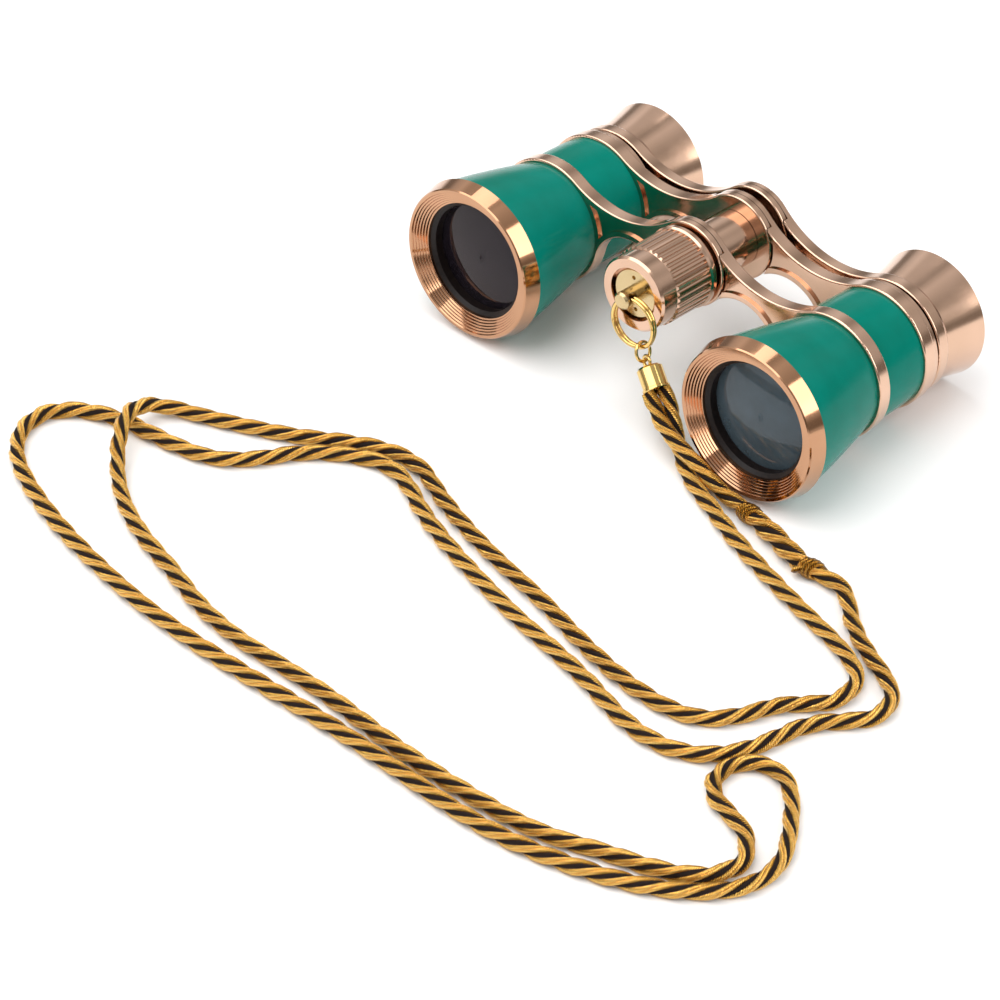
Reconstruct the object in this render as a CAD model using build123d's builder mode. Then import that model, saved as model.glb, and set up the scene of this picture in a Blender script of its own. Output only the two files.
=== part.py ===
"""Folding opera glasses on a twisted neck cord, in millimetres.

The glasses lie on a table on the rims of their two objective rings and two eye horns, so the
barrels slope down to the rear by a few degrees. Turned and flat pieces are drawn in the glasses'
own directions: stations are measured rearwards from the front of the objective rings, x runs
across, and "up" is square to both. The right half is the one on +X, as seen from the front.
"""
from math import atan2, cos, pi, radians, sin, sqrt, tan
import os

from build123d import *

os.makedirs("parts", exist_ok=True)

# ---------------------------------------------------------------- driving dimensions
BARREL_X = 36.2          # half the distance between the two optical axes
HINGE_RISE = 7.6         # hinge axis above the plane of the optical axes
SIDES = {"right": 1, "left": -1}

# objective ring, lens and shells
BEZEL_R = 16.8           # largest radius of the objective ring
BEZEL_FACE_R = 15.9      # outer edge of its front face
BEZEL_EDGE = 0.25        # chamfer round that face
BEZEL_LENGTH = 3.4
OPENING_R = 12.25        # clear objective opening
GROOVES = 6              # steps turned in the sloping front face
FACE_DEPTH = 2.0         # how far the face slopes in
LIP = 0.6                # wall behind the opening
SPIGOT_R = 15.0
SPIGOT_END = 6.6
LENS_R = 12.5            # 25 mm objective
LENS_LAND_R = 11.3       # clear glass inside the black retaining ring
LENS_SEAT = 5.0
LENS_EDGE = 2.0
LENS_BULGE = 1.0
SHELL_FRONT_R = 16.4
SHELL_MIDDLE = (13.8, 14.7)
SHELL_REAR_R = 12.45
SHELL_WALL = 1.0
TUBE_START = 20.0
TUBE_R = 11.4            # black tube that joins the shells and rings
TUBE_BORE_R = 10.9

# bridge arms
FRONT_PLATE = 24.0       # front face of the front arms
REAR_PLATE = 38.2
PLATE_T = 3.1
EYE_PLATE = 43.1
EYE_PLATE_T = 2.8
HUB_R = 9.0
FRONT_RING_R = 13.25
REAR_RING_R = 13.0
EYE_RING_R = 12.5
ARM_TOP_R = 22.0         # concave sweep of the upper edge
FRONT_BOTTOM_R = 9.0     # and of the lower edge
REAR_BOTTOM_R = 10.0
ARM_RIM = 1.3            # width of the proud rim along the edges
ARM_RIM_PROUD = 0.55
ARM_EDGE = 0.4
COLLAR_R = 12.7          # thin collar behind each rear ring
COLLAR_T = 0.9
LAP_GAP = 0.15           # between two knuckles that share a plate's thickness
LAP_CLEAR = 0.35         # radial room round a knuckle

# eyepieces
DRAW_R = 10.6            # tube that slides in the barrel and carries the eyepiece
DRAW_BORE_R = 9.7
DRAW_START = 30.0
DRAW_END = 48.6
HORN_NECK_R = 11.45
HORN_R = 13.2            # rim of the eye horn
HORN_EDGE = 0.35
HORN_END = 56.6
EYE_OPENING_R = 8.6
EYE_LENS_T = 2.6
EYE_LENS_DISH = 0.7      # hollow of each of its faces
EYE_RETAINER_T = 1.2
TRAVEL_IN = 0.6          # eyepieces move in from here
TRAVEL_OUT = 5.2         # and out

# hinge tube, knob and focus spindle
STEM_R = 5.9             # gold tube between the bridges
JOURNAL_R = 4.5          # its ends, inside the hubs
NOSE_R = 4.2             # its nose, inside the knob
NOSE_START = 10.6
TAIL_END = 41.5
STEM_BORE_R = 3.0
RUNNING_FIT = 0.06
END_GAP = 0.1
SPINDLE_R = 2.95
SPINDLE_FLANGE_R = 4.4
PIN_AT = 15.0
PIN_R = 0.95
PIN_REACH = 5.25
SLOT_WIDTH = 2.1
KNOB_FRONT = 8.0
KNOB_REAR = 23.5
KNOB_BAND_R = 7.85
KNOB_FLUTE_R = 8.25
KNOB_END_R = 8.55
FLUTE_START = 12.4
FLUTE_END = 21.6
FLUTES = 38
FLUTE_CUT_R = 0.42
RECESS_R = 5.6
RECESS_DEPTH = 1.9
WASHER_R = 6.6
WASHER_T = 0.9
DISC_R = 5.1
DISC_T = 1.1
POST_START = 4.4
POST_R = 1.8
POST_HOLE_AT = 6.3
POST_HOLE_R = 1.1
SPANNER_HOLE_AT = 3.4
SPANNER_HOLE_R = 0.45
NUT_R = 5.0
NUT_DOME = 1.5

# ring, ferrule and cord
SPLIT_R = 5.1            # split ring, middle of the wire
SPLIT_WIRE_R = 0.42
JUMP_R = 1.9
JUMP_WIRE_R = 0.35
EYE_R = 1.15
EYE_WIRE_R = 0.35
FERRULE_R = 2.15
FERRULE_WIDE_R = 2.6     # it is pressed oval over the two cord ends
FERRULE_BEAD = 0.2       # rolled edge of its mouth
FERRULE_LENGTH = 5.0
CORD_D = 3.0
CORD_EXIT = 4.2          # straight run out of the ferrule
CORD_SIDE = 1.52         # the cord ends lie this far either side of the ferrule's axis

# ---------------------------------------------------------------- directions and places
HORN_RIM = HORN_END - HORN_EDGE
TILT = atan2(BEZEL_R - HORN_R, HORN_RIM - BEZEL_LENGTH)        # both rims touch the table
ACROSS = Vector(1, 0, 0)
REARWARD = Vector(0, cos(TILT), -sin(TILT))
UPWARD = Vector(0, sin(TILT), cos(TILT))
FRONT_REACH = (BEZEL_FACE_R - BEZEL_EDGE) * sin(TILT)
REAR_REACH = HORN_END * cos(TILT) + (HORN_R - HORN_EDGE) * sin(TILT)
AXIS_HEIGHT = BEZEL_LENGTH * sin(TILT) + BEZEL_R * cos(TILT)
FRONT_POINT = Vector(0, (FRONT_REACH - REAR_REACH) / 2, AXIS_HEIGHT)
SLOT_START = PIN_AT - TRAVEL_IN - 1.2
SLOT_END = PIN_AT + TRAVEL_OUT + 1.2
SPINDLE_END = EYE_PLATE + EYE_PLATE_T + 0.9


def place(x, station, up=0.0):
    """A point given across, rearwards and upwards in the glasses' own directions."""
    return FRONT_POINT + ACROSS * x + REARWARD * station + UPWARD * up


def across(x, station, up=0.0):
    """Plane square to the barrels, facing forwards; a negative extrusion goes rearwards."""
    return Plane(place(x, station, up), x_dir=ACROSS, z_dir=REARWARD * -1)


def half_section(x, up, outline):
    """Face bounded by the closed outline (station, radius); four numbers make an arc."""
    with BuildSketch(Plane(place(x, 0, up), x_dir=REARWARD, z_dir=ACROSS)) as section:
        with BuildLine():
            last = outline[0]
            for step in outline[1:] + [outline[0]]:
                if len(step) == 4:
                    ThreePointArc(last, step[:2], step[2:])
                else:
                    Line(last, step)
                last = step[-2:]
        make_face()
    return section.sketch


def turn(x, up, *outline):
    """Turn the outline about the barrel or hinge axis at x and up, in the part being made."""
    revolve(half_section(x, up, list(outline)), axis=Axis(place(x, 0, up), REARWARD))


def dome_middle(edge, rise, radius):
    """Halfway point of the arc from a round edge to a pole on the axis, rise further back."""
    sphere_r = (radius**2 + rise**2) / (2 * abs(rise))
    drop = sphere_r - sqrt(sphere_r**2 - radius**2 / 4)
    return (edge + rise - drop * (1 if rise > 0 else -1), radius / 2)


def keep(piece, name):
    piece.part.label = name
    export_step(piece.part, f"parts/{name}.step")


# ---------------------------------------------------------------- objective end
def make_bezel(name, x):
    """Objective ring: stepped face sloping in to the opening, flared band, spigot behind."""
    face_r = BEZEL_FACE_R - BEZEL_EDGE - 0.6
    step_in = (face_r - OPENING_R) / GROOVES
    step_back = FACE_DEPTH / GROOVES
    steps = []
    for n in range(GROOVES):
        radius = face_r - n * step_in
        steps.append((n * step_back, radius))
        steps.append(((n + 1) * step_back, radius - 0.15))
    behind = FACE_DEPTH + LIP
    with BuildPart() as bezel:
        turn(
            x, 0,
            (BEZEL_EDGE, BEZEL_FACE_R), (0, BEZEL_FACE_R - BEZEL_EDGE), *steps,
            (FACE_DEPTH, OPENING_R), (behind, OPENING_R), (behind, LENS_R), (SPIGOT_END, LENS_R),
            (SPIGOT_END, SPIGOT_R), (BEZEL_LENGTH + 0.2, SPIGOT_R),
            (BEZEL_LENGTH + 0.2, BEZEL_R - 0.3), (BEZEL_LENGTH, BEZEL_R),
        )
    keep(bezel, name)


def make_objective_lens(name, x):
    end = LENS_SEAT + LENS_EDGE
    with BuildPart() as lens:
        turn(
            x, 0,
            (LENS_SEAT - LENS_BULGE, 0),
            dome_middle(LENS_SEAT, -LENS_BULGE, LENS_LAND_R) + (LENS_SEAT, LENS_LAND_R),
            (LENS_SEAT, LENS_R), (end, LENS_R), (end, LENS_LAND_R),
            dome_middle(end, LENS_BULGE / 2, LENS_LAND_R) + (end + LENS_BULGE / 2, 0),
        )
    keep(lens, name)


def make_objective_retainer(name, x):
    """Black ring that lines the opening and holds the lens."""
    start = FACE_DEPTH + LIP
    with BuildPart() as retainer:
        turn(
            x, 0,
            (start, LENS_R), (start, OPENING_R - 0.2), (start + 0.6, LENS_LAND_R),
            (LENS_SEAT, LENS_LAND_R), (LENS_SEAT, LENS_R),
        )
    keep(retainer, name)


def make_front_shell(name, x):
    """Enamelled front shell, tapering from the objective ring to the front bridge."""
    start = BEZEL_LENGTH + 0.2
    middle, middle_r = SHELL_MIDDLE
    with BuildPart() as shell:
        turn(
            x, 0,
            (start, SPIGOT_R), (start, SHELL_FRONT_R),
            (middle, middle_r, FRONT_PLATE, SHELL_REAR_R), (FRONT_PLATE, TUBE_R),
            (middle, middle_r - SHELL_WALL, SPIGOT_END, SPIGOT_R - 0.1), (SPIGOT_END, SPIGOT_R),
        )
    keep(shell, name)


def make_baffle(name, x):
    """Black inner cone that clamps the lens and keeps stray light off."""
    start = LENS_SEAT + LENS_EDGE
    with BuildPart() as baffle:
        turn(
            x, 0,
            (start, LENS_R), (start, LENS_LAND_R), (TUBE_START, TUBE_BORE_R - 0.5),
            (TUBE_START, TUBE_BORE_R), (start + 1.5, LENS_R),
        )
    keep(baffle, name)


def make_barrel_tube(name, x):
    end = REAR_PLATE + PLATE_T
    with BuildPart() as tube:
        turn(x, 0, (TUBE_START, TUBE_BORE_R), (TUBE_START, TUBE_R), (end, TUBE_R), (end, TUBE_BORE_R))
    keep(tube, name)


def make_rear_shell(name, x):
    start = FRONT_PLATE + PLATE_T
    with BuildPart() as shell:
        turn(
            x, 0,
            (start, TUBE_R), (start, SHELL_REAR_R),
            ((start + REAR_PLATE) / 2, SHELL_REAR_R + 0.05, REAR_PLATE, SHELL_REAR_R - 0.15),
            (REAR_PLATE, TUBE_R),
        )
    keep(shell, name)


# ---------------------------------------------------------------- bridge arms
class ArmOutline:
    """Hub and ring circles of one arm, joined by two concave arcs tangent to both."""

    def __init__(self, side, ring_r, bottom_r):
        self.hub = Vector(0, HINGE_RISE)
        self.ring = Vector(side * BARREL_X, 0)
        self.ring_r = ring_r
        self.along = (self.ring - self.hub).normalized()
        upward = Vector(-self.along.Y, self.along.X) * side
        self.top = self.tangent_arc(ARM_TOP_R, upward)
        self.bottom = self.tangent_arc(bottom_r, upward * -1)

    def tangent_arc(self, radius, way):
        """Hub end, middle and ring end of the arc that curves away from the arm."""
        span = (self.ring - self.hub).length
        to_hub = HUB_R + radius
        to_ring = self.ring_r + radius
        run = (to_hub**2 - to_ring**2 + span**2) / (2 * span)
        centre = self.hub + self.along * run + way * sqrt(to_hub**2 - run**2)
        hub_end = self.hub + (centre - self.hub).normalized() * HUB_R
        ring_end = self.ring + (centre - self.ring).normalized() * self.ring_r
        chord_middle = (hub_end + ring_end) * 0.5
        return hub_end, centre + (chord_middle - centre).normalized() * radius, ring_end

    def whole(self):
        ThreePointArc(self.bottom[0], self.hub - self.along * HUB_R, self.top[0])
        ThreePointArc(*self.top)
        ThreePointArc(self.top[2], self.ring + self.along * self.ring_r, self.bottom[2])
        ThreePointArc(self.bottom[2], self.bottom[1], self.bottom[0])

    def web(self):
        ThreePointArc(*self.top)
        Polyline(self.top[2], self.ring, self.bottom[2])
        ThreePointArc(self.bottom[2], self.bottom[1], self.bottom[0])
        Polyline(self.bottom[0], self.hub, self.top[0])


def make_arm(name, side, start, thickness, ring_r, bottom_r, ring_bore_r, hub_bore_r, collar=False):
    """Hub, web and ring from one plate. The left arm keeps the front half of the thickness at
    the hub and the right arm the rear half, so the two knuckles share the plate."""
    outline = ArmOutline(side, ring_r, bottom_r)
    half = (thickness - LAP_GAP) / 2
    cut_start = start if side > 0 else start + half
    with BuildPart() as arm:
        with BuildSketch(across(0, start)):
            with BuildLine():
                outline.whole()
            make_face()
        extrude(amount=-thickness)
        flats = arm.faces().sort_by(Axis(place(0, 0), REARWARD))
        fillet(flats[0].edges() + flats[-1].edges(), radius=ARM_EDGE)
        for surface, depth in ((start, -ARM_RIM_PROUD), (start + thickness, ARM_RIM_PROUD)):
            with BuildSketch(across(0, surface)):
                with BuildLine():
                    outline.web()
                make_face()
                offset(amount=-ARM_RIM)
                with Locations(outline.hub):
                    Circle(HUB_R + 0.3, mode=Mode.SUBTRACT)
                with Locations(outline.ring):
                    Circle(ring_r + 0.3, mode=Mode.SUBTRACT)
            extrude(amount=depth, mode=Mode.SUBTRACT)
        with BuildSketch(across(0, cut_start)):
            with Locations(outline.hub):
                Circle(HUB_R + LAP_CLEAR)
        extrude(amount=half - thickness, mode=Mode.SUBTRACT)
        if collar:
            with BuildSketch(across(0, start + thickness)):
                with Locations(outline.ring):
                    Circle(COLLAR_R)
            extrude(amount=-COLLAR_T)
        with BuildSketch(across(0, start)):
            with Locations(outline.hub):
                Circle(hub_bore_r)
            with Locations(outline.ring):
                Circle(ring_bore_r)
        extrude(amount=-thickness - COLLAR_T, mode=Mode.SUBTRACT)
    keep(arm, name)


# ---------------------------------------------------------------- eyepieces
def make_draw_tube(name, x):
    with BuildPart() as tube:
        turn(
            x, 0,
            (DRAW_START, DRAW_BORE_R), (DRAW_START, DRAW_R), (DRAW_END, DRAW_R),
            (DRAW_END, DRAW_BORE_R),
        )
    keep(tube, name)


def make_eye_horn(name, x):
    """Flared eye horn with a bowl-shaped mouth."""
    start = EYE_PLATE + EYE_PLATE_T
    with BuildPart() as horn:
        turn(
            x, 0,
            (start, DRAW_R), (start, HORN_NECK_R + 0.5), (start + 1.1, HORN_NECK_R),
            (51.8, 12.25, HORN_RIM, HORN_R), (HORN_END, HORN_R - HORN_EDGE),
            (HORN_END, HORN_R - 0.9), (53.0, 10.6, DRAW_END + 0.9, EYE_OPENING_R),
            (DRAW_END, EYE_OPENING_R), (DRAW_END, DRAW_R),
        )
    keep(horn, name)


def make_eye_lens(name, x):
    """Concave eye lens behind the mouth of the horn."""
    start = DRAW_END - EYE_LENS_T
    edge_r = EYE_OPENING_R - 0.2
    with BuildPart() as lens:
        turn(
            x, 0,
            (start + EYE_LENS_DISH, 0), dome_middle(start, EYE_LENS_DISH, edge_r) + (start, edge_r),
            (start, DRAW_BORE_R), (DRAW_END, DRAW_BORE_R), (DRAW_END, edge_r),
            dome_middle(DRAW_END, -EYE_LENS_DISH, edge_r) + (DRAW_END - EYE_LENS_DISH, 0),
        )
    keep(lens, name)


def make_eye_retainer(name, x):
    end = DRAW_END - EYE_LENS_T
    start = end - EYE_RETAINER_T
    with BuildPart() as retainer:
        turn(
            x, 0,
            (start, EYE_OPENING_R), (start, DRAW_BORE_R), (end, DRAW_BORE_R),
            (end, EYE_OPENING_R),
        )
    keep(retainer, name)


for side_name, side in SIDES.items():
    middle_x = side * BARREL_X
    hub_fit = 0 if side > 0 else RUNNING_FIT
    make_bezel(f"{side_name}_bezel", middle_x)
    make_objective_lens(f"{side_name}_objective_lens", middle_x)
    make_objective_retainer(f"{side_name}_objective_retainer", middle_x)
    make_front_shell(f"{side_name}_front_shell", middle_x)
    make_baffle(f"{side_name}_baffle", middle_x)
    make_barrel_tube(f"{side_name}_barrel_tube", middle_x)
    make_rear_shell(f"{side_name}_rear_shell", middle_x)
    make_draw_tube(f"{side_name}_draw_tube", middle_x)
    make_eye_horn(f"{side_name}_eye_horn", middle_x)
    make_eye_lens(f"{side_name}_eye_lens", middle_x)
    make_eye_retainer(f"{side_name}_eye_retainer", middle_x)
    make_arm(
        f"{side_name}_front_arm", side, FRONT_PLATE, PLATE_T, FRONT_RING_R, FRONT_BOTTOM_R,
        TUBE_R, JOURNAL_R + hub_fit,
    )
    make_arm(
        f"{side_name}_rear_arm", side, REAR_PLATE, PLATE_T, REAR_RING_R, REAR_BOTTOM_R,
        TUBE_R, JOURNAL_R + hub_fit, collar=True,
    )
    make_arm(
        f"{side_name}_eyepiece_arm", side, EYE_PLATE, EYE_PLATE_T, EYE_RING_R, REAR_BOTTOM_R,
        DRAW_R, SPINDLE_R + hub_fit,
    )

# ---------------------------------------------------------------- hinge tube and focus spindle
with BuildPart() as hinge_tube:
    front = FRONT_PLATE + PLATE_T
    rear = REAR_PLATE - END_GAP
    turn(
        0, HINGE_RISE,
        (NOSE_START, STEM_BORE_R), (NOSE_START, NOSE_R), (FRONT_PLATE - END_GAP, NOSE_R),
        (FRONT_PLATE - END_GAP, JOURNAL_R), (front, JOURNAL_R), (front, STEM_R), (rear, STEM_R),
        (rear, JOURNAL_R), (TAIL_END, JOURNAL_R), (TAIL_END, STEM_BORE_R),
    )
    with BuildSketch(across(0, SLOT_START, HINGE_RISE)):
        Rectangle(SLOT_WIDTH, 2 * NOSE_R + 1)
    extrude(amount=SLOT_START - SLOT_END, mode=Mode.SUBTRACT)
keep(hinge_tube, "hinge_tube")

pin_plane = Plane(place(0, PIN_AT, HINGE_RISE), x_dir=ACROSS, z_dir=UPWARD)
with BuildPart() as focus_spindle:
    flange = EYE_PLATE - 0.6
    turn(
        0, HINGE_RISE,
        (PIN_AT - 1.8, 0), (PIN_AT - 1.8, SPINDLE_R - 0.3), (PIN_AT - 1.5, SPINDLE_R),
        (flange, SPINDLE_R), (flange, SPINDLE_FLANGE_R), (EYE_PLATE - END_GAP, SPINDLE_FLANGE_R),
        (EYE_PLATE - END_GAP, SPINDLE_R), (SPINDLE_END, SPINDLE_R), (SPINDLE_END, 0),
    )
    with BuildSketch(pin_plane):
        Circle(PIN_R)
    extrude(amount=SPINDLE_R + 1, both=True, mode=Mode.SUBTRACT)
keep(focus_spindle, "focus_spindle")

with BuildPart() as drive_pin:
    with BuildSketch(pin_plane):
        Circle(PIN_R)
    extrude(amount=PIN_REACH, both=True)
keep(drive_pin, "drive_pin")

with BuildPart() as spindle_nut:
    seat = EYE_PLATE + EYE_PLATE_T
    turn(
        0, HINGE_RISE,
        (seat, SPINDLE_R), (seat, NUT_R), (seat + 0.7, NUT_R),
        dome_middle(seat + 0.7, NUT_DOME, NUT_R) + (seat + 0.7 + NUT_DOME, 0),
        (SPINDLE_END, 0), (SPINDLE_END, SPINDLE_R),
    )
keep(spindle_nut, "spindle_nut")

# ---------------------------------------------------------------- knob, washer and end disc
with BuildPart() as focus_knob:
    bore_r = NOSE_R + RUNNING_FIT
    recess_end = KNOB_FRONT + RECESS_DEPTH
    washer_seat = FRONT_PLATE - END_GAP - WASHER_T - END_GAP
    turn(
        0, HINGE_RISE,
        (KNOB_FRONT, RECESS_R), (KNOB_FRONT, KNOB_BAND_R - 0.45), (KNOB_FRONT + 0.45, KNOB_BAND_R),
        (FLUTE_START - 0.3, KNOB_BAND_R), (FLUTE_START, KNOB_FLUTE_R), (FLUTE_END, KNOB_FLUTE_R),
        (FLUTE_END + 0.4, KNOB_END_R), (KNOB_REAR - 0.7, KNOB_END_R),
        (KNOB_REAR - 0.2, KNOB_END_R - 0.4, KNOB_REAR, KNOB_END_R - 1.1),
        (KNOB_REAR, WASHER_R + 0.3), (washer_seat, WASHER_R + 0.3), (washer_seat, bore_r),
        (SLOT_END, bore_r), (SLOT_END, RECESS_R), (SLOT_START, RECESS_R), (SLOT_START, bore_r),
        (recess_end, bore_r), (recess_end, RECESS_R),
    )
    with BuildSketch(across(0, FLUTE_START - 0.5, HINGE_RISE)):
        with PolarLocations(KNOB_FLUTE_R + 0.05, FLUTES):
            Circle(FLUTE_CUT_R)
    extrude(amount=FLUTE_START - FLUTE_END - 0.4, mode=Mode.SUBTRACT)
keep(focus_knob, "focus_knob")

with BuildPart() as thrust_washer:
    washer_end = FRONT_PLATE - END_GAP
    washer_start = washer_end - WASHER_T
    turn(
        0, HINGE_RISE,
        (washer_start, NOSE_R), (washer_start, WASHER_R), (washer_end, WASHER_R),
        (washer_end, NOSE_R),
    )
keep(thrust_washer, "thrust_washer")

# The split ring hangs through the post's cross hole and to one side; the jump ring and the
# ferrule's eye follow it, and the cord leaves the ferrule's mouth towards the table.
POST_HOLE = place(0, POST_HOLE_AT, HINGE_RISE)
SPLIT_DROP = (ACROSS * 0.46 - UPWARD * 0.888).normalized()
SPLIT_TANGENT = REARWARD.cross(SPLIT_DROP)
SPLIT_CENTRE = POST_HOLE + SPLIT_DROP * SPLIT_R
HANG = Vector(0.40, 0.10, -0.91).normalized()
JUMP_CENTRE = SPLIT_CENTRE + SPLIT_DROP * SPLIT_R + HANG
CORD_WAY = Vector(0.75, -0.33, -0.57).normalized()
EYE_CENTRE = JUMP_CENTRE + HANG * JUMP_R + CORD_WAY * 0.35
EYE_FACE = CORD_WAY.cross(Vector(-0.6, 0.1, -0.79)).normalized()
FERRULE_TOP = EYE_CENTRE + CORD_WAY * (EYE_R - 0.1)
FERRULE_MOUTH = FERRULE_TOP + CORD_WAY * FERRULE_LENGTH
FERRULE_ACROSS = CORD_WAY.cross(Vector(0.58, 0.80, 0.14)).cross(CORD_WAY).normalized()
CORD_START = FERRULE_MOUTH - FERRULE_ACROSS * CORD_SIDE
CORD_END = FERRULE_MOUTH + FERRULE_ACROSS * CORD_SIDE

disc_front = KNOB_FRONT + RECESS_DEPTH - 0.2 - DISC_T
with BuildPart() as end_disc:
    disc_rear = disc_front + DISC_T
    neck_r = NOSE_R - 0.3
    spigot_end = NOSE_START + 1.4
    turn(
        0, HINGE_RISE,
        (POST_START, 0), (POST_START, POST_R - 0.4), (POST_START + 0.4, POST_R),
        (disc_front, POST_R), (disc_front, DISC_R - 0.2), (disc_front + 0.2, DISC_R),
        (disc_rear, DISC_R), (disc_rear, neck_r), (NOSE_START, neck_r), (NOSE_START, STEM_BORE_R),
        (spigot_end, STEM_BORE_R), (spigot_end, 0),
    )
    with BuildSketch(Plane(POST_HOLE, z_dir=SPLIT_TANGENT)):
        Circle(POST_HOLE_R)
    extrude(amount=2 * POST_R, both=True, mode=Mode.SUBTRACT)
    with BuildSketch(across(0, disc_front, HINGE_RISE)):
        with PolarLocations(SPANNER_HOLE_AT, 2, start_angle=100):
            Circle(SPANNER_HOLE_R)
    extrude(amount=-0.7, mode=Mode.SUBTRACT)
keep(end_disc, "end_disc")

# ---------------------------------------------------------------- rings and ferrule
with BuildPart() as split_ring:
    for turn_side in (-1, 1):
        shift = REARWARD * (turn_side * 0.9 * SPLIT_WIRE_R)
        with Locations(Plane(SPLIT_CENTRE + shift, z_dir=REARWARD)):
            Torus(SPLIT_R, SPLIT_WIRE_R)
keep(split_ring, "split_ring")

with BuildPart() as jump_ring:
    with Locations(Plane(JUMP_CENTRE, z_dir=SPLIT_TANGENT - HANG * SPLIT_TANGENT.dot(HANG))):
        Torus(JUMP_R, JUMP_WIRE_R)
keep(jump_ring, "jump_ring")

with BuildPart() as ferrule:
    bead_at = FERRULE_LENGTH - 0.7
    stations = (
        (0, -0.45), (0.45, 0), (bead_at, 0), (bead_at + 0.15, FERRULE_BEAD),
        (FERRULE_LENGTH - 0.15, FERRULE_BEAD), (FERRULE_LENGTH, 0.05),
    )
    for station, swell in stations:
        middle = FERRULE_TOP + CORD_WAY * station
        with BuildSketch(Plane(middle, x_dir=FERRULE_ACROSS, z_dir=CORD_WAY)):
            Ellipse(FERRULE_WIDE_R + swell, FERRULE_R + swell)
    loft(ruled=True)
    with Locations(Plane(EYE_CENTRE, z_dir=EYE_FACE)):
        Torus(EYE_R, EYE_WIRE_R)
keep(ferrule, "ferrule")

# ---------------------------------------------------------------- neck cord
# One loop: it leaves the ferrule over its own other end, runs forwards, lies on the table in a
# long double course to the left, where it turns back, and comes home under its first stretch.
# Points are the middle of the cord; CORD_LIES is its height when it lies on the table.
CORD_LIES = CORD_D / 2
CORD_ROUTE = [
    (17.2, -28.7, 5.7), (22.8, -30.2, 5.1), (28.5, -31.2, 4.2),
    (34.5, -32.1, 2.1), (41, -32.7), (47, -34.0), (52.4, -35.4), (57.6, -37.2), (62.7, -37.1),
    (67, -36.4), (70.6, -38), (73.8, -41.4), (79, -45.4), (85.2, -48.4), (90.8, -50.8),
    (94.4, -54.2), (95.2, -58.6), (93.3, -62.6), (89.8, -66), (87.0, -70.4), (85.7, -75.8),
    (84.3, -81), (81.4, -86.2), (76.6, -90.3), (70, -92), (61.5, -91.2), (52.6, -88.4),
    (42.5, -86.4), (31, -84.6), (20, -82), (8, -78.9), (-3, -75.0), (-10.4, -70.9),
    (-17.6, -69.4), (-25, -72.9), (-31.4, -78.2), (-35.6, -85.2), (-40.6, -90.8), (-47.4, -93.4),
    (-55.4, -94.6), (-63.6, -95.6), (-71, -98.6), (-76, -104), (-75.6, -111), (-70, -117.4),
    (-61, -121.6), (-50, -125), (-37, -127.6), (-22, -129.6), (-7, -130.2), (9, -129.5),
    (25, -128.4), (41, -128.2), (56, -128.6), (69, -127.6), (81, -124.6), (91.5, -120.6),
    (100.5, -114.8), (106, -108), (107, -100.5), (104.2, -94.6), (100.6, -89.6), (97.4, -85.6),
    (93.8, -82.7), (89.8, -82.1), (86.2, -83.9), (84.2, -87.4), (84.4, -91.4), (86.8, -94.6),
    (90.6, -96), (95.2, -96.9), (99.2, -99.3), (101.9, -103.6), (100.8, -108.6), (96.6, -112.8), (90, -115.9), (82, -118.4), (75, -121.4),
    (67, -123.2), (57, -124), (46, -124.5), (34, -124.1), (22, -123.2), (10, -123.4),
    (-2, -124), (-13, -122.7), (-24, -119.2), (-35, -116.6), (-45, -112.4), (-52.6, -107.0, 2.2),
    (-58.2, -100.9, 4.7), (-61.8, -95.0, 4.7), (-61.6, -89.6, 3.0), (-57.8, -86.0, 1.7),
    (-51.6, -83.4), (-43.6, -79.8), (-35, -75.4), (-26.6, -69.6), (-19, -65.9), (-11.5, -65.6),
    (-4, -69.2), (6, -72.6), (18, -75.5), (31, -77.8), (44, -81.4), (56, -83.6), (66, -83.9),
    (73.2, -81.6), (77.6, -76), (79.8, -70), (83.2, -66), (86.4, -62.9), (87.5, -59.1),
    (86.8, -55.2), (84.2, -52.1), (77.8, -49.4), (66.5, -46.6), (55, -43.4), (44, -39.8), (35.8, -36.2),
    (28.8, -33.5), (23.2, -30.1), (18.8, -26.6, 2.7),
]


def bend_radii(points):
    """Arc radius at each corner: nearly half of the shorter run goes into the bend."""
    radii = []
    for before, corner, after in zip(points, points[1:], points[2:]):
        run_in = corner - before
        run_out = after - corner
        turn_angle = radians(run_in.get_angle(run_out))
        radii.append(0.45 * min(run_in.length, run_out.length) / tan(turn_angle / 2))
    return radii


cord_points = [CORD_START, CORD_START + CORD_WAY * CORD_EXIT]
for spot in CORD_ROUTE:
    cord_points.append(Vector(*spot) if len(spot) == 3 else Vector(*spot, CORD_LIES))
cord_points += [CORD_END + CORD_WAY * CORD_EXIT, CORD_END]
cord_radii = bend_radii(cord_points)
print("cord radii", [round(radius, 1) for radius in cord_radii])

with BuildPart() as neck_cord:
    with BuildLine() as cord_path:
        FilletPolyline(*cord_points, radius=cord_radii)
    with BuildSketch(Plane(CORD_START, z_dir=cord_points[1] - CORD_START)):
        Circle(CORD_D / 2)
    sweep()
cord_length = sum(edge.length for edge in cord_path.edges())
print("cord length", round(cord_length), "volume ratio",
      round(neck_cord.part.volume / (cord_length * pi * CORD_D**2 / 4), 4))
keep(neck_cord, "neck_cord")
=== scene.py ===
"""Looks of the folding opera glasses: metals, enamel, coated lenses and the twisted neck cord.

Everything is in metres, in the CAD model's frame. The right half is the one on +X.
"""
import math

import bpy
import numpy as np
from mathutils import Matrix, Vector


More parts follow.
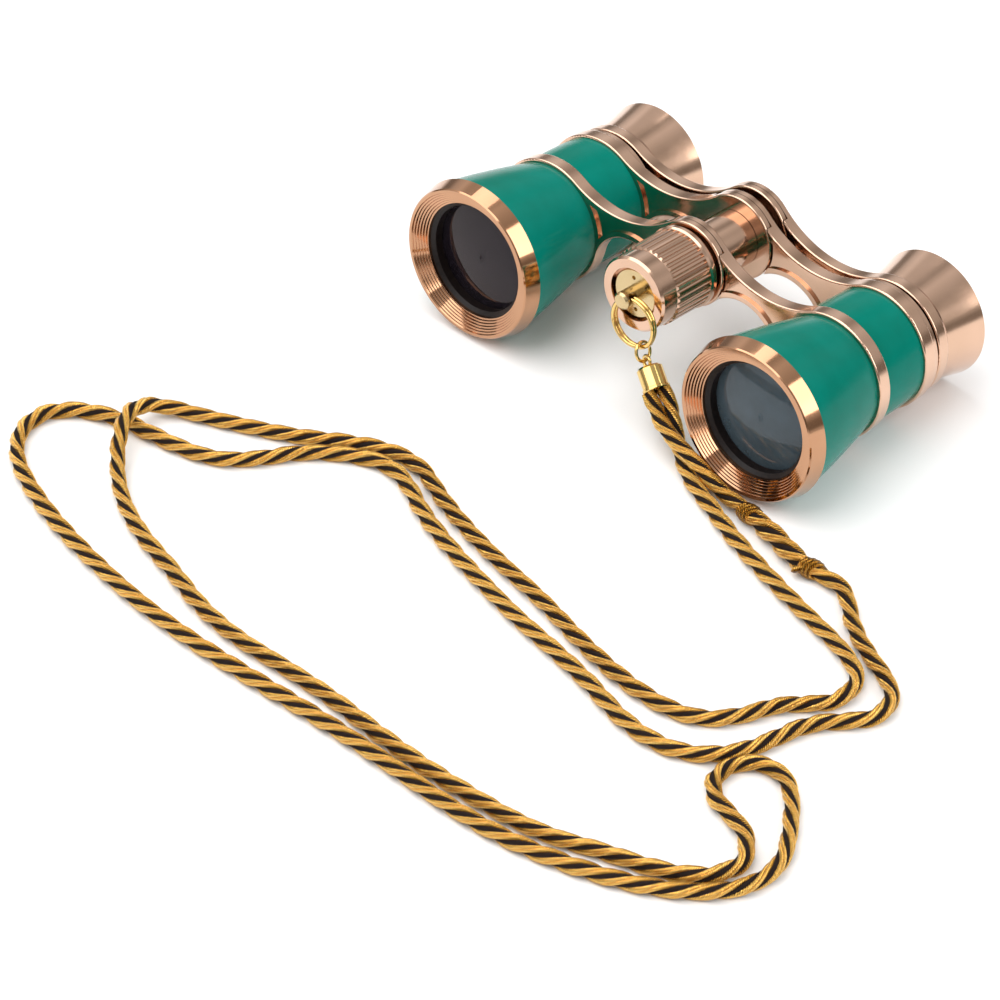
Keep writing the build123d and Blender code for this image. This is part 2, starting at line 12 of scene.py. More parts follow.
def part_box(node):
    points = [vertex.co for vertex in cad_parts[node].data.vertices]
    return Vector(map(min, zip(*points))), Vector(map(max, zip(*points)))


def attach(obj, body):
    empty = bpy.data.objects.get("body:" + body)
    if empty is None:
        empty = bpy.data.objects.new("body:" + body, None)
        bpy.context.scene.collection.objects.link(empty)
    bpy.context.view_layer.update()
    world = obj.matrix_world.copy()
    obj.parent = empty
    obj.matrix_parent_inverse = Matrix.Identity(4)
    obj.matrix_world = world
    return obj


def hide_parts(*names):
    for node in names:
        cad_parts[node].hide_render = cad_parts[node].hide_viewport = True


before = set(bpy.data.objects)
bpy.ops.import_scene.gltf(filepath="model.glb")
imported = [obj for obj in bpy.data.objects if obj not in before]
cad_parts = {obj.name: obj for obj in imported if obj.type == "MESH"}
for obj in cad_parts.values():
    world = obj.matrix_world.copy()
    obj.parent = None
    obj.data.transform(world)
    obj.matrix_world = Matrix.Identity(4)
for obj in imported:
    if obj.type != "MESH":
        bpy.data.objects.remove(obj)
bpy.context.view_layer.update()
bpy.context.scene.view_settings.view_transform = "Standard"     # plain whites, as in a catalogue

# ---------------------------------------------------------------- camera
CAMERA_AT = (0.3961, -0.4831, 0.4792)
AZIMUTH, ELEVATION, ROLL = 42.86, 39.77, 0.87     # degrees; azimuth 0 looks along +Y
LENS_MM = 142.3


def make_camera():
    camera = bpy.data.objects.new("camera", bpy.data.cameras.new("camera"))
    bpy.context.scene.collection.objects.link(camera)
    turn = Matrix.Rotation(math.radians(AZIMUTH), 4, "Z")
    tilt = Matrix.Rotation(math.radians(90 - ELEVATION), 4, "X")
    roll = Matrix.Rotation(math.radians(ROLL), 4, "Z")
    camera.matrix_world = Matrix.Translation(CAMERA_AT) @ turn @ tilt @ roll
    camera.data.lens = LENS_MM
    camera.data.clip_start = 0.01
    bpy.context.scene.camera = camera


# ---------------------------------------------------------------- node helpers
def new_material(name, settings):
    """Node material, with the inputs of its shader set from {input: value}."""
    material = bpy.data.materials.new(name)
    material.use_nodes = True
    nodes, links = material.node_tree.nodes, material.node_tree.links
    shader = nodes["Principled BSDF"]
    for socket, value in settings.items():
        shader.inputs[socket].default_value = value
    return material, nodes, links, shader


def noise(nodes, links, scale, detail, stretch=None):
    """Noise over the object's own coordinates, which are metres; stretch is a scale per axis."""
    place = nodes.new("ShaderNodeTexCoord")
    texture = nodes.new("ShaderNodeTexNoise")
    texture.inputs["Scale"].default_value = scale
    texture.inputs["Detail"].default_value = detail
    if stretch:
        mapping = nodes.new("ShaderNodeMapping")
        mapping.inputs["Scale"].default_value = stretch
        links.new(place.outputs["Object"], mapping.inputs["Vector"])
        links.new(mapping.outputs["Vector"], texture.inputs["Vector"])
    else:
        links.new(place.outputs["Object"], texture.inputs["Vector"])
    return texture.outputs["Fac"]


def ramp(nodes, links, value, *stops):
    """Colour ramp with stops of (position, colour)."""
    node = nodes.new("ShaderNodeValToRGB")
    elements = node.color_ramp.elements
    while len(elements) < len(stops):
        elements.new(0.5)
    for element, (position, colour) in zip(elements, stops):
        element.position = position
        element.color = (*colour, 1.0)
    links.new(value, node.inputs["Fac"])
    return node.outputs["Color"]


def span(nodes, links, value, low, high):
    """Maps 0..1 to low..high."""
    node = nodes.new("ShaderNodeMapRange")
    node.inputs["To Min"].default_value = low
    node.inputs["To Max"].default_value = high
    links.new(value, node.inputs["Value"])
    return node.outputs["Result"]


def times(nodes, links, value, factor, plus):
    """value x factor + plus, where plus is a number or another value."""
    node = nodes.new("ShaderNodeMath")
    node.operation = "MULTIPLY_ADD"
    links.new(value, node.inputs[0])
    node.inputs[1].default_value = factor
    if isinstance(plus, bpy.types.NodeSocket):
        links.new(plus, node.inputs[2])
    else:
        node.inputs[2].default_value = plus
    return node.outputs["Value"]


def bump(nodes, links, value, shader, height, strength):
    """Relief of up to height metres over the whole surface."""
    node = nodes.new("ShaderNodeBump")
    node.inputs["Strength"].default_value = strength
    node.inputs["Distance"].default_value = height
    links.new(value, node.inputs["Height"])
    links.new(node.outputs["Normal"], shader.inputs["Normal"])


# ---------------------------------------------------------------- materials
FILM_NM = 105             # anti-reflection film on the lenses
DUST_PALER = 1.25         # how much paler dust makes the glass
UV_PER_METRE = 1000.0     # along a strand, the UV map runs in millimetres
UV_AROUND = 2.0           # and once round it from 0 to this
LINES_SHARE, PAINTED_SHADE_SHARE, SHADE_BASE = 0.55, 0.45, 0.5     # what adds up to a yarn's fibre lines and painted shade
PAINTED_HIGHLIGHT_TURN = 0.5         # radians from a strand's crest to its painted highlight


def plated_metal(name, low, high, roughness):
    """Polished plating under lacquer: slight colour drift, smudged gloss, hair-fine lines."""
    material, nodes, links, shader = new_material(
        name, {"Metallic": 1.0, "Coat Weight": 0.5, "Coat Roughness": 0.05})
    drift = noise(nodes, links, scale=90, detail=2)
    links.new(ramp(nodes, links, drift, (0.3, low), (0.7, high)), shader.inputs["Base Color"])
    smudge = noise(nodes, links, scale=260, detail=5)
    gloss = span(nodes, links, smudge, roughness * 0.6, roughness * 1.5)
    links.new(gloss, shader.inputs["Roughness"])
    lines = noise(nodes, links, scale=700, detail=2, stretch=(1.0, 12.0, 1.0))
    bump(nodes, links, lines, shader, height=0.000003, strength=0.12)
    return material


def enamel(name, dark, light):
    """Enamel under a weak clear gloss: cloudy depth and a soft orange peel."""
    material, nodes, links, shader = new_material(name, {
        "Specular IOR Level": 0.05, "Coat Weight": 0.2, "Coat Roughness": 0.03, "Coat IOR": 1.25})
    cloud = noise(nodes, links, scale=60, detail=4)
    links.new(ramp(nodes, links, cloud, (0.32, dark), (0.68, light)), shader.inputs["Base Color"])
    grain = noise(nodes, links, scale=900, detail=3)
    links.new(span(nodes, links, grain, 0.16, 0.3), shader.inputs["Roughness"])
    peel = noise(nodes, links, scale=220, detail=2)
    bump(nodes, links, peel, shader, height=0.00002, strength=0.25)
    return material


def blackened(name):
    """Blackened metal: fine dark grain, hardly any gloss."""
    material, nodes, links, shader = new_material(name, {"Specular IOR Level": 0.25})
    grain = noise(nodes, links, scale=1500, detail=4)
    soot = ramp(nodes, links, grain, (0.3, (0.006, 0.004, 0.004)), (0.7, (0.014, 0.009, 0.008)))
    links.new(soot, shader.inputs["Base Color"])
    links.new(span(nodes, links, grain, 0.3, 0.5), shader.inputs["Roughness"])
    bump(nodes, links, grain, shader, height=0.00002, strength=0.5)
    return material


def turned_steel(name):
    """Bare steel with the fine lines of turning."""
    material, nodes, links, shader = new_material(name, {"Metallic": 1.0})
    lines = noise(nodes, links, scale=500, detail=3, stretch=(1.0, 30.0, 1.0))
    steel = ramp(nodes, links, lines, (0.3, (0.42, 0.42, 0.43)), (0.7, (0.66, 0.66, 0.67)))
    links.new(steel, shader.inputs["Base Color"])
    links.new(span(nodes, links, lines, 0.22, 0.38), shader.inputs["Roughness"])
    bump(nodes, links, lines, shader, height=0.00001, strength=0.4)
    return material


def coated_glass(name, tint, gloss, clear=0.8):
    """Lens with an anti-reflection film: tinted glass, faint dust and wipe marks."""
    material, nodes, links, shader = new_material(name, {
        "Transmission Weight": clear, "IOR": 1.5, "Specular IOR Level": gloss,
        "Thin Film Thickness": FILM_NM, "Thin Film IOR": 1.38})
    haze = noise(nodes, links, scale=180, detail=6)
    dusty = tuple(channel * DUST_PALER for channel in tint)
    links.new(ramp(nodes, links, haze, (0.35, tint), (0.75, dusty)), shader.inputs["Base Color"])
    links.new(span(nodes, links, haze, 0.01, 0.09), shader.inputs["Roughness"])
    return material


def yarn(name, dark, light, painted_glint, metallic, roughness):
    """Fine filaments slanting over each strand from its UV map, with painted shade on its inner
    side and a painted highlight beside its crest.
    """
    material, nodes, links, shader = new_material(
        name, {"Metallic": metallic, "Specular IOR Level": 0.15})
    strand = nodes.new("ShaderNodeUVMap")
    strand.uv_map = "strand"
    filaments = nodes.new("ShaderNodeTexWave")
    filaments.bands_direction = "DIAGONAL"
    filaments.inputs["Scale"].default_value = 1.4
    filaments.inputs["Distortion"].default_value = 2.5
    filaments.inputs["Detail"].default_value = 2.0
    links.new(strand.outputs["UV"], filaments.inputs["Vector"])
    split = nodes.new("ShaderNodeSeparateXYZ")
    links.new(strand.outputs["UV"], split.inputs["Vector"])
    angle = times(nodes, links, split.outputs["Y"], 2 * math.pi / UV_AROUND, plus=PAINTED_HIGHLIGHT_TURN)
    # painted shade: 1 on the outer side of a strand, -1 on its inner side
    painted_shading = nodes.new("ShaderNodeMath")
    painted_shading.operation = "COSINE"
    links.new(angle, painted_shading.inputs[0])
    lines = times(nodes, links, filaments.outputs["Fac"], LINES_SHARE, plus=SHADE_BASE)
    fibres_and_painted_shade = times(nodes, links, painted_shading.outputs["Value"], PAINTED_SHADE_SHARE, plus=lines)
    # ramp from painted shade through the yarn's colour to a painted glint highlight
    colour = ramp(nodes, links, fibres_and_painted_shade, (0.34, dark), (0.8, light), (1.0, painted_glint))
    links.new(colour, shader.inputs["Base Color"])
    grain = noise(nodes, links, scale=900, detail=3)
    gloss = span(nodes, links, grain, roughness * 0.7, roughness * 1.4)
    links.new(gloss, shader.inputs["Roughness"])
    bump(nodes, links, filaments.outputs["Fac"], shader, height=0.00016, strength=1.0)
    return material


ROSE_GOLD = plated_metal("rose_gold", (0.63, 0.405, 0.28), (0.70, 0.455, 0.325), 0.14)
# a darker copy of the rose gold for the bezels, with painted shade in its colour
SHADED_ROSE_GOLD = plated_metal("shaded_rose_gold", (0.45, 0.23, 0.12), (0.52, 0.275, 0.15), 0.1)
YELLOW_GOLD = plated_metal("yellow_gold", (0.68, 0.45, 0.13), (0.80, 0.56, 0.20), 0.10)
PALE_BRASS = plated_metal("pale_brass", (0.56, 0.42, 0.21), (0.66, 0.51, 0.28), 0.22)
GREEN_ENAMEL = enamel("green_enamel", (0.0, 0.145, 0.103), (0.0, 0.20, 0.155))
BLACK = blackened("blackened_metal")
STEEL = turned_steel("turned_steel")
OBJECTIVE_GLASS = coated_glass("objective_glass", (0.04, 0.03, 0.045), gloss=0.25)
# a paler, less clear copy of the objective glass, used for the right objective lens only
PALER_OBJECTIVE_GLASS = coated_glass("paler_objective_glass", (0.09, 0.13, 0.16), gloss=0.3, clear=0.45)
EYE_GLASS = coated_glass("eye_glass", (0.4, 0.46, 0.44), gloss=0.4)
# dark is painted shade on each strand's inner side, and glint a painted highlight
GOLD_YARN = yarn("gold_yarn", dark=(0.035, 0.01, 0.001), light=(0.66, 0.30, 0.035),
                 painted_glint=(0.98, 0.60, 0.16), metallic=0.9, roughness=0.17)
BLACK_YARN = yarn("black_yarn", dark=(0.003, 0.001, 0.001), light=(0.012, 0.006, 0.005),
                  painted_glint=(0.02, 0.012, 0.01), metallic=0.0, roughness=0.7)

FINISHES = {
    "bezel": SHADED_ROSE_GOLD, "front_arm": ROSE_GOLD, "rear_arm": ROSE_GOLD, "eyepiece_arm": ROSE_GOLD,
    "eye_horn": ROSE_GOLD, "front_shell": GREEN_ENAMEL, "rear_shell": GREEN_ENAMEL,
    "objective_retainer": BLACK, "baffle": BLACK, "barrel_tube": BLACK, "draw_tube": BLACK,
    "eye_retainer": BLACK, "eye_lens": EYE_GLASS,
    "left_objective_lens": OBJECTIVE_GLASS, "right_objective_lens": PALER_OBJECTIVE_GLASS,
    "hinge_tube": ROSE_GOLD, "focus_knob": ROSE_GOLD, "spindle_nut": ROSE_GOLD,
    "end_disc": PALE_BRASS, "split_ring": YELLOW_GOLD, "jump_ring": YELLOW_GOLD,
    "ferrule": YELLOW_GOLD, "focus_spindle": STEEL, "drive_pin": STEEL, "thrust_washer": STEEL,
}


def finish_cad_nodes():
    """Gives each CAD node its material, by its whole name or by its name without the side."""
    for name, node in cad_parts.items():
        piece = name.removeprefix("right_").removeprefix("left_")
        finish = FINISHES.get(name, FINISHES.get(piece))
        if finish:
            for material_slot in node.material_slots:
                material_slot.material = finish


# ---------------------------------------------------------------- tubes and strands
def even_steps(points, step):
    """Points an even step apart along the line through points, and their distances along it."""
    points = np.asarray(points, float)
    along = np.concatenate([[0.0], np.cumsum(np.linalg.norm(np.diff(points, axis=0), axis=1))])
    count = int(round(along[-1] / step)) + 1
    spots = np.linspace(0.0, along[-1], count)
    return np.stack([np.interp(spots, along, points[:, axis]) for axis in range(3)], 1), spots


def steady_frames(line):
    """Two directions square to the line at each point, carried along without twisting."""
    ahead = np.gradient(line, axis=0)
    ahead /= np.linalg.norm(ahead, axis=1)[:, None]
    first = np.zeros_like(line)
    guess = np.cross(ahead[0], (0.0, 0.0, 1.0))
    for n, direction in enumerate(ahead):
        guess = guess - direction * guess.dot(direction)
        guess = guess / np.linalg.norm(guess)
        first[n] = guess
    return first, np.cross(ahead, first)


def tube(line, radius_out, radius_side, outward, sideways, sides, material):
    """Tube round the line, as mesh_piece takes it; its section may be wider one way."""
    angles = np.linspace(0, 2 * math.pi, sides, endpoint=False)
    out = np.multiply.outer(np.broadcast_to(radius_out, len(line)), np.cos(angles))
    side = np.multiply.outer(np.broadcast_to(radius_side, len(line)), np.sin(angles))
    out = outward[:, None, :] * out[:, :, None]
    side = sideways[:, None, :] * side[:, :, None]
    return (line[:, None, :] + out + side).reshape(-1, 3), len(line), sides, material


def ring_quads(rings, sides, start):
    """Faces between a tube's rings, and each corner's ring number and share of the way round."""
    ring, side = np.meshgrid(np.arange(rings - 1), np.arange(sides), indexing="ij")
    here = start + ring * sides + side
    beside = start + ring * sides + (side + 1) % sides
    quads = np.stack([here, beside, beside + sides, here + sides], -1).reshape(-1, 4)
    lengthways = np.stack([ring, ring, ring + 1, ring + 1], -1).reshape(-1, 4)
    roundways = np.stack([side, side + 1, side + 1, side], -1).reshape(-1, 4) / sides
    return quads, lengthways, roundways


def mesh_piece(name, tubes, step):
    """One object from tubes, each (vertices, rings, sides, material), with rings a step apart."""
    vertices, quads, uvs, materials, indices = [], [], [], [], []
    start = 0
    for surface, rings, sides, material in tubes:
        faces, lengthways, roundways = ring_quads(rings, sides, start)
        if material not in materials:
            materials.append(material)
        vertices.append(surface)
        quads.append(faces)
        uv = np.stack([lengthways * step * UV_PER_METRE, roundways * UV_AROUND], -1)
        uvs.append(uv.reshape(-1, 2))
        indices.append(np.full(len(faces), materials.index(material)))
        start += len(surface)
    mesh = bpy.data.meshes.new(name)
    mesh.from_pydata(np.concatenate(vertices).tolist(), [], np.concatenate(quads).tolist())
    layer = mesh.uv_layers.new(name="strand")
    layer.data.foreach_set("uv", np.concatenate(uvs).ravel())
    for material in materials:
        mesh.materials.append(material)
    mesh.polygons.foreach_set("material_index", np.concatenate(indices).astype(np.int32))
    mesh.polygons.foreach_set("use_smooth", np.ones(len(mesh.polygons), bool))
    mesh.update()
    piece = bpy.data.objects.new(name, mesh)
    bpy.context.scene.collection.objects.link(piece)
    return piece


# ---------------------------------------------------------------- neck cord
CORD_D = 0.003
CORD_LIES = CORD_D / 2    # height of its line over the floor
CORD_STEP = 0.001
TWIST_PITCH = 0.0172      # one full turn of the twist
TWIST_GROUPS = 3          # each group is a pair of gold strands and a sunken black one
STRANDS = ((0.21, True), (0.44, True), (0.83, False))   # place in the group, and whether gold
GOLD_STRAND = (0.00056, 0.00044, 0.00106)     # radius outwards and sideways, and from the core
BLACK_STRAND = (0.00042, 0.00055, 0.0008)
CORE_R = 0.0008
UNEVEN, UNEVEN_WAVES, UNEVEN_SHIFT = 0.05, 640, 2.1     # share, radians a metre, radians a group
STRAND_SIDES, THIN_SIDES = 10, 8              # faces round a strand, and round thinner yarn
KNOTS = ((0.0425, -0.0331), (0.0612, -0.0373))          # the outer line of cord is knotted twice
KNOT_SWELL, SWELL_RISE = 0.27, 1.6            # between the knots the cord is slack and thicker
WRAP_R, WRAP_OUT, WRAP_SIDE = 0.00172, 0.00042, 0.0004  # radius of the winding and of its yarn
WRAP_TURNS, WRAP_PITCH, WRAP_STEP, WRAP_POINTS = 4.5, 0.00082, 0.0003, 110
WRAP_ENDS, WRAP_ROUNDING, WRAP_SLANT = 0.62, 0.6, 0.8   # end radius as a share, bulge, lean
TAIL_ENDS = ((0.0584, -0.0397, 0.0014), (0.0589, -0.0402, 0.0022))     # tips of the loose ends
TAIL_RISE = 0.0006        # of the middle of a loose end
TAIL_THICK, TAIL_TIP, TAIL_BLUNT = 1.35, 0.0006, 0.04   # frayed ends, rounded off over the tip
CORD_ROUTE = [            # (x, y) where the cord lies on the floor, (x, y, z) where it is lifted
    (0.0099, -0.025, 0.0085), (0.013, -0.0264, 0.0061), (0.0172, -0.0287, 0.0057),
    (0.0228, -0.0302, 0.0051), (0.0285, -0.0312, 0.0042), (0.0345, -0.0321, 0.0022),
    (0.041, -0.0327, 0.0021), (0.047, -0.034, 0.0021), (0.0524, -0.0354, 0.0021),
    (0.0576, -0.0372, 0.0021), (0.0627, -0.0371, 0.0021), (0.067, -0.0364), (0.0706, -0.038),
    (0.0738, -0.0414), (0.079, -0.0454), (0.0852, -0.0484), (0.0908, -0.0508), (0.0944, -0.0542),
    (0.0952, -0.0586), (0.0933, -0.0626), (0.0898, -0.066), (0.087, -0.0704), (0.0857, -0.0758),
    (0.0843, -0.081), (0.0814, -0.0862), (0.0766, -0.0903), (0.07, -0.092), (0.0615, -0.0912),
    (0.0526, -0.0884), (0.0425, -0.0864), (0.031, -0.0846), (0.02, -0.082), (0.008, -0.0789),
    (-0.003, -0.075), (-0.0104, -0.0709), (-0.0176, -0.0694), (-0.025, -0.0729), (-0.0314, -0.0782),
    (-0.0356, -0.0852), (-0.0406, -0.0908), (-0.0474, -0.0934), (-0.0554, -0.0946),
    (-0.0636, -0.0956), (-0.071, -0.0986), (-0.076, -0.104), (-0.0756, -0.111), (-0.07, -0.1174),
    (-0.061, -0.1216), (-0.05, -0.125), (-0.037, -0.1276), (-0.022, -0.1296), (-0.007, -0.1302),
    (0.009, -0.1295), (0.025, -0.1284), (0.041, -0.1282), (0.056, -0.1286), (0.069, -0.1276),
    (0.081, -0.1246), (0.0915, -0.1206), (0.1005, -0.1148), (0.106, -0.108), (0.107, -0.1005),
    (0.1042, -0.0946), (0.1006, -0.0896), (0.0974, -0.0856), (0.0938, -0.0827), (0.0898, -0.0821),
    (0.0862, -0.0839), (0.0842, -0.0874), (0.0844, -0.0914), (0.0868, -0.0946), (0.0906, -0.096),
    (0.0952, -0.0969), (0.0992, -0.0993), (0.1019, -0.1036), (0.1008, -0.1086), (0.0966, -0.1128),
    (0.09, -0.1159), (0.082, -0.1184), (0.075, -0.1214), (0.067, -0.1232), (0.057, -0.124),
    (0.046, -0.1245), (0.034, -0.1241), (0.022, -0.1232), (0.01, -0.1234), (-0.002, -0.124),
    (-0.013, -0.1227), (-0.024, -0.1192), (-0.035, -0.1166), (-0.045, -0.1124),
    (-0.0526, -0.107, 0.0022), (-0.0582, -0.1009, 0.0047), (-0.0618, -0.095, 0.0047),
    (-0.0616, -0.0896, 0.003), (-0.0578, -0.086, 0.0017), (-0.0516, -0.0834), (-0.0436, -0.0798),
    (-0.035, -0.0754), (-0.0266, -0.0696), (-0.019, -0.0659), (-0.0115, -0.0656), (-0.004, -0.0692),
    (0.006, -0.0726), (0.018, -0.0755), (0.031, -0.0778), (0.044, -0.0814), (0.056, -0.0836),
    (0.066, -0.0839), (0.0732, -0.0816), (0.0776, -0.076), (0.0798, -0.07), (0.0832, -0.066),
    (0.0864, -0.0629), (0.0875, -0.0591), (0.0868, -0.0552), (0.0842, -0.0521), (0.0778, -0.0494),
    (0.0665, -0.0466), (0.055, -0.0434), (0.044, -0.0398), (0.0358, -0.0362), (0.0288, -0.0335),
    (0.0232, -0.0301), (0.0188, -0.0266, 0.0027), (0.0146, -0.0239, 0.0067),
    (0.0114, -0.0225, 0.0091),
]


def cord_line():
    """Close points along a smooth curve that the route's points control."""
    curve = bpy.data.curves.new("cord_route", "CURVE")
    curve.dimensions = "3D"
    curve.resolution_u = 8
    spline = curve.splines.new("NURBS")
    spline.points.add(len(CORD_ROUTE) - 1)
    for point, spot in zip(spline.points, CORD_ROUTE):
        height = spot[2] if len(spot) == 3 else CORD_LIES
        point.co = (spot[0], spot[1], height, 1.0)
    spline.order_u = 3
    spline.use_endpoint_u = True
    route = bpy.data.objects.new("cord_route", curve)
    bpy.context.scene.collection.objects.link(route)
    mesh = bpy.data.meshes.new_from_object(route)
    points = [tuple(vertex.co) for vertex in mesh.vertices]
    bpy.data.objects.remove(route)
    bpy.data.meshes.remove(mesh)
    return points


def knot_index(line, spot):
    """Where the knot at spot is along the line; both knots are in its first half."""
    first_half = line[: len(line) // 2, :2]
    return int(np.argmin(np.linalg.norm(first_half - np.array(spot), axis=1)))


def twisted_tubes(line, along):
    """The cord's core and its strands, which lie round it with a left-handed twist."""
    first, second = steady_frames(line)
    slack_from, slack_to = (along[knot_index(line, spot)] for spot in KNOTS)
    share = np.clip((along - slack_from) / (slack_to - slack_from), 0, 1)
    swell = 1 + KNOT_SWELL * np.minimum(1, np.sin(share * math.pi) * SWELL_RISE)
    core_r = CORE_R * swell
    tubes = [tube(line, core_r, core_r, first, second, THIN_SIDES, BLACK_YARN)]
    for group in range(TWIST_GROUPS):
        uneven = swell * (1 + UNEVEN * np.sin(along * UNEVEN_WAVES + group * UNEVEN_SHIFT))
        for place, gold in STRANDS:
            start = 2 * math.pi * (group + place) / TWIST_GROUPS
            angle = (start - 2 * math.pi * along / TWIST_PITCH)[:, None]
            outward = np.cos(angle) * first + np.sin(angle) * second
            sideways = -np.sin(angle) * first + np.cos(angle) * second
            out_r, side_r, middle_r = GOLD_STRAND if gold else BLACK_STRAND
            middle = line + outward * (middle_r * uneven)[:, None]
            tubes.append(tube(middle, out_r * uneven, side_r * swell, outward, sideways,
                              STRAND_SIDES, GOLD_YARN if gold else BLACK_YARN))
    return tubes


def knot_winding(middle, ahead):
    """Path of the yarn wound round the cord at a knot, leaning, and tighter at both ends."""
    across = np.cross((0.0, 0.0, 1.0), ahead)
    across /= np.linalg.norm(across)
    upward = np.cross(ahead, across)
    turns = np.linspace(-0.5, 0.5, WRAP_POINTS) * WRAP_TURNS
    angles = turns * 2 * math.pi
    bulge = np.cos(turns / WRAP_TURNS * math.pi) ** WRAP_ROUNDING
    radius = WRAP_R * (WRAP_ENDS + (1 - WRAP_ENDS) * bulge)
    forward = WRAP_PITCH * (turns + WRAP_SLANT * np.cos(angles))
    return (
        middle + np.outer(np.cos(angles) * radius, across)
        + np.outer(np.sin(angles) * radius, upward) + np.outer(forward, ahead)
    )


def yarn_tube(path, loose_end=False):
    """Gold yarn along the path; a loose end is frayed thicker and rounded off at its tip."""
    line, along = even_steps(path, WRAP_STEP)
    thick = 1.0
    if loose_end:
        thick = TAIL_THICK * np.sqrt(np.clip((along[-1] - along) / TAIL_TIP, TAIL_BLUNT, 1))
    first, second = steady_frames(line)
    return tube(line, WRAP_OUT * thick, WRAP_SIDE * thick, first, second, THIN_SIDES, GOLD_YARN)


def make_knot(name, line, spot, tail_ends=()):
    """Yarn wound round the cord at a knot, and the loose ends that stand out of it."""
    at = knot_index(line, spot)
    middle, ahead = line[at], line[at + 2] - line[at - 2]
    ahead /= np.linalg.norm(ahead)
    tubes = [yarn_tube(knot_winding(middle, ahead))]
    for end in tail_ends:
        risen = (middle + end) / 2 + (0, 0, TAIL_RISE)
        tubes.append(yarn_tube((middle, risen, end), loose_end=True))
    knot = mesh_piece(name, tubes, WRAP_STEP)
    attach(knot, "right_half")


def make_neck_cord():
    """The whole cord and its two knots, which all stay with the right half."""
    points = cord_line()
    line, along = even_steps(points, CORD_STEP)
    cord = mesh_piece("neck_cord_strands", twisted_tubes(line, along), CORD_STEP)
    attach(cord, "right_half")
    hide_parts("neck_cord")
    make_knot("cord_knot", line, KNOTS[0])
    make_knot("cord_knot_with_ends", line, KNOTS[1], TAIL_ENDS)


# ---------------------------------------------------------------- split ring
RIM_RISE, RIM_RUN = 0.0036, 0.05285     # of the line under both rims, which the ring leans with
SPLIT_R, SPLIT_WIRE_R, SPLIT_SIDES = 0.0051, 0.00042, 12
SPLIT_TURNS, SPLIT_POINTS, SPLIT_STEP = 2, 160, 0.0004
SPLIT_START = -0.6        # radians from +X to the wire's first end
SPLIT_CROSSING = 4        # the wire crosses over within 2 / this of a turn
SPLIT_APART = 0.98        # of the wire's radius either way, so that the turns just touch


def make_split_ring():
    """Split ring wound as two turns of wire, its ends lying against the turn beside them."""
    low, high = (np.array(corner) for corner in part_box("split_ring"))
    tilt = math.atan2(RIM_RISE, RIM_RUN)
    across = np.array((1.0, 0.0, 0.0))
    rearward = np.array((0.0, math.cos(tilt), -math.sin(tilt)))
    upward = np.array((0.0, math.sin(tilt), math.cos(tilt)))
    turned = np.linspace(0, SPLIT_TURNS * 2 * math.pi, SPLIT_POINTS)
    apart = np.clip((turned / (2 * math.pi) - 1) * SPLIT_CROSSING, -1, 1)
    line = (
        (low + high) / 2 + np.outer(np.cos(turned + SPLIT_START), across) * SPLIT_R
        + np.outer(np.sin(turned + SPLIT_START), upward) * SPLIT_R
        + np.outer(apart * SPLIT_WIRE_R * SPLIT_APART, rearward)
    )
    first, second = steady_frames(line)
    wire = tube(line, SPLIT_WIRE_R, SPLIT_WIRE_R, first, second, SPLIT_SIDES, YELLOW_GOLD)
    ring = mesh_piece("split_ring_wire", [wire], SPLIT_STEP)
    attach(ring, "right_half")
    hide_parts("split_ring")


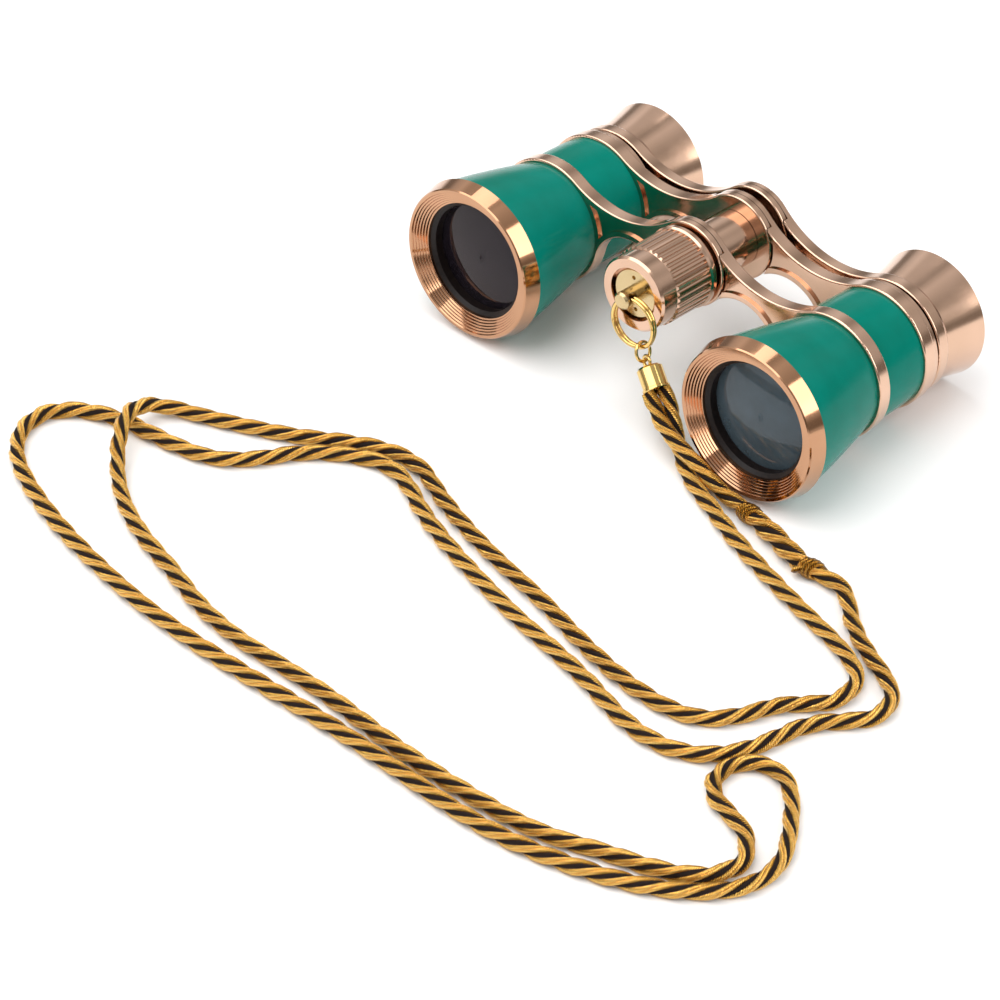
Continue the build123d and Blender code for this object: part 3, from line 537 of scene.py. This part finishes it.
# ---------------------------------------------------------------- floor, light and world
FLOOR_HALF, FLOOR_GAP = 4.0, 0.00002    # half its width, and its clearance under the rims
AIM = (0.0, -0.02, 0.0)
LAMPS = (                               # name, place, width and height, watts
    ("key", (-0.4, -0.35, 1.0), (1.6, 1.3), 15),
    ("fill", (0.75, 0.1, 0.65), (0.5, 0.7), 4),
)
SKY = (                                 # colour from the horizon up to the zenith
    (0.0, (0.85, 0.85, 0.85)), (0.06, (0.28, 0.26, 0.24)), (0.2, (0.32, 0.3, 0.28)),
    (0.32, (0.72, 0.71, 0.7)), (0.5, (1.0, 1.0, 1.0)), (0.62, (0.7, 0.69, 0.68)),
    (1.0, (0.8, 0.8, 0.8)),
)
SIDES = (                               # and from -X to +X, by which the sky is multiplied
    (0.0, (1.0, 1.0, 1.0)), (0.28, (0.85, 0.85, 0.85)), (0.4, (0.5, 0.49, 0.48)),
    (0.52, (1.0, 1.0, 1.0)), (0.75, (0.6, 0.59, 0.58)), (1.0, (1.0, 1.0, 1.0)),
)


def make_floor():
    """Wide pale floor just under the rims, which is only scenery."""
    corners = [(x * FLOOR_HALF, y * FLOOR_HALF, 0) for x, y in ((-1, -1), (1, -1), (1, 1), (-1, 1))]
    mesh = bpy.data.meshes.new("floor")
    mesh.from_pydata(corners, [], [(0, 1, 2, 3)])
    floor = bpy.data.objects.new("floor", mesh)
    bpy.context.scene.collection.objects.link(floor)
    floor.location.z = -FLOOR_GAP
    pale = {"Base Color": (0.93, 0.93, 0.93, 1), "Roughness": 0.9, "Specular IOR Level": 0.1}
    mesh.materials.append(new_material("pale_floor", pale)[0])


def soft_light(name, place, size, watts):
    """Lamp with a large rectangle of light, facing AIM."""
    light = bpy.data.lights.new(name, "AREA")
    light.shape = "RECTANGLE"
    light.size, light.size_y = size
    light.energy = watts
    lamp = bpy.data.objects.new(name, light)
    bpy.context.scene.collection.objects.link(lamp)
    lamp.location = place
    lamp.rotation_euler = (Vector(place) - Vector(AIM)).to_track_quat("Z", "Y").to_euler()


def make_world():
    """Studio surroundings for the metals to reflect: bands of light and dark, up and across."""
    world = bpy.data.worlds.new("studio")
    bpy.context.scene.world = world
    world.use_nodes = True
    nodes, links = world.node_tree.nodes, world.node_tree.links
    place = nodes.new("ShaderNodeTexCoord")
    split = nodes.new("ShaderNodeSeparateXYZ")
    links.new(place.outputs["Generated"], split.inputs["Vector"])
    width = times(nodes, links, split.outputs["X"], 0.5, plus=0.5)     # -1..1 becomes 0..1
    both = nodes.new("ShaderNodeVectorMath")
    both.operation = "MULTIPLY"
    links.new(ramp(nodes, links, split.outputs["Z"], *SKY), both.inputs[0])
    links.new(ramp(nodes, links, width, *SIDES), both.inputs[1])
    links.new(both.outputs["Vector"], nodes["Background"].inputs["Color"])


make_camera()
make_neck_cord()
make_split_ring()
finish_cad_nodes()
make_floor()
for lamp in LAMPS:
    soft_light(*lamp)
make_world()
